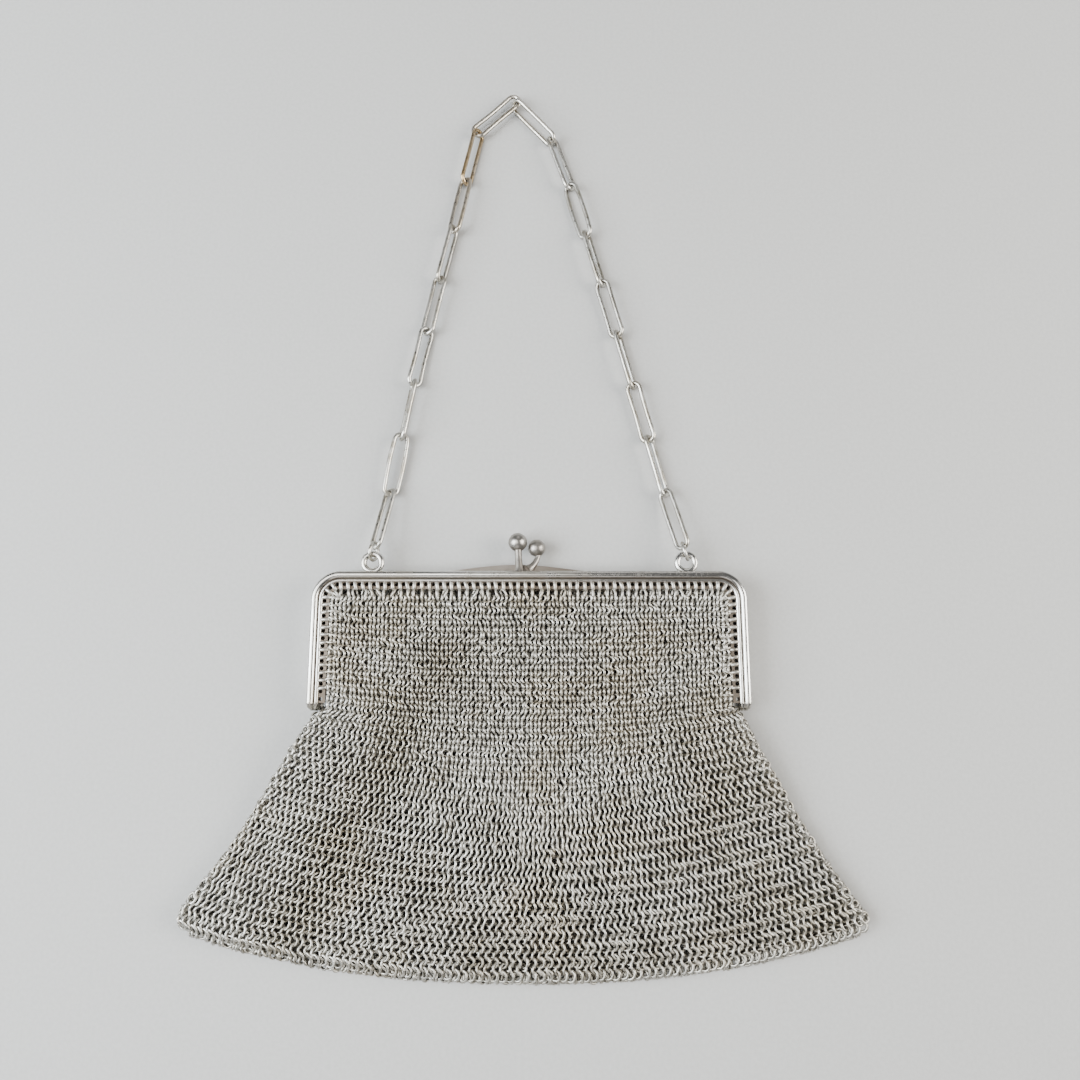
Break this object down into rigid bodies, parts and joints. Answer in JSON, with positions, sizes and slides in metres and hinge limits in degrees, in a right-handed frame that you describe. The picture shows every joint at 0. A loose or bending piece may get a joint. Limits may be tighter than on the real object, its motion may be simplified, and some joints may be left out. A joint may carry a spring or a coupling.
{
  "type": "metal mesh purse",
  "caption": "Small evening purse of linked metal rings on a hinged U-shaped frame with a ball kiss lock and a long-link chain handle, lying closed on its back.",
  "frame": {"origin": "on the underside of the bag, midway between the legs of the frame and 24 mm below the frame's top edge", "axes": "+X along the frame to the right seen from the front, +Y from the bag to the chain handle, +Z out of the front of the bag, which lies on its back"},
  "size_m": [0.196, 0.2804, 0.0098],
  "materials": {
    "frame_metal": "polished nickel silver, worn, warm reflections and thin brown tarnish in the grooves",
    "chain_metal": "bright nickel silver wire with amber tarnish on a few links",
    "ring_mesh": "linked metal rings, dulled, with beige and olive tarnish"
  },
  "bodies": {
    "root": {"frame_front": "frame_metal", "frame_back": "frame_metal", "rivet_left": "frame_metal", "rivet_right": "frame_metal", "mesh_bag": "ring_mesh", "jump_ring_left": "chain_metal", "jump_ring_right": "chain_metal", "link_01": "chain_metal", "link_02": "chain_metal", "link_03": "chain_metal", "link_04": "chain_metal", "link_05": "chain_metal", "link_06": "chain_metal", "link_07": "chain_metal", "link_08": "chain_metal", "link_09": "chain_metal", "link_10": "chain_metal", "link_11": "chain_metal", "link_12": "chain_metal", "link_13": "chain_metal", "link_14": "chain_metal", "link_15": "chain_metal", "link_16": "chain_metal", "link_17": "chain_metal", "link_18": "chain_metal"}
  },
  "joints": []
}
